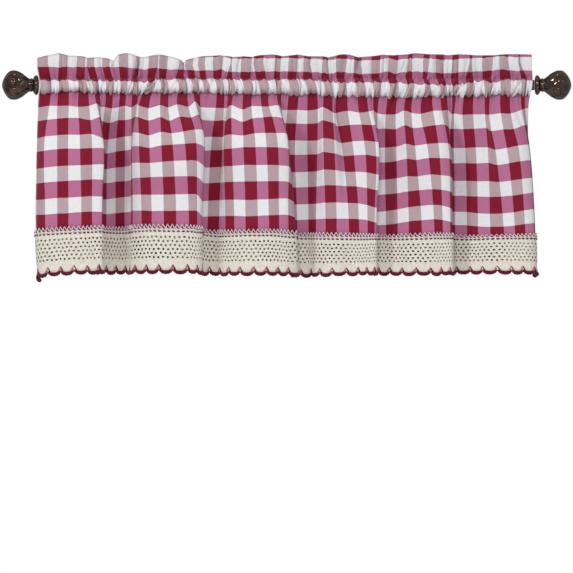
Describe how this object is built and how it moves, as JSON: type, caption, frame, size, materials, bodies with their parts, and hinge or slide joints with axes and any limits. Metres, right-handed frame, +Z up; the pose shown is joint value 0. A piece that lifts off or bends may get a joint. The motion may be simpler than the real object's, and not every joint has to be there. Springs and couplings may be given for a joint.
{
  "type": "window valance on a curtain rod",
  "caption": "Gathered rod-pocket window valance in buffalo check with a crocheted lace hem and scalloped edge, on a plain rod with turned ball finials.",
  "frame": {"origin": "middle of the rod's axis", "axes": "+X along the rod to the viewer's right, -Y to the viewer and +Y to the wall, +Z up"},
  "size_m": [0.883, 0.0796, 0.3516],
  "materials": {
    "check_cloth": "matt woven cotton in red and white buffalo check",
    "lace": "matt ecru crochet cotton with small holes",
    "edging": "burgundy crochet cotton with a slight sheen",
    "rod_metal": "antique bronze paint on a steel tube",
    "finial_metal": "glossy antique bronze on cast metal"
  },
  "bodies": {
    "root": {"valance_cloth": "check_cloth", "lace_band": "lace", "scallop_edging": "edging", "rod": "rod_metal", "finial_left": "finial_metal", "finial_right": "finial_metal"}
  },
  "joints": []
}
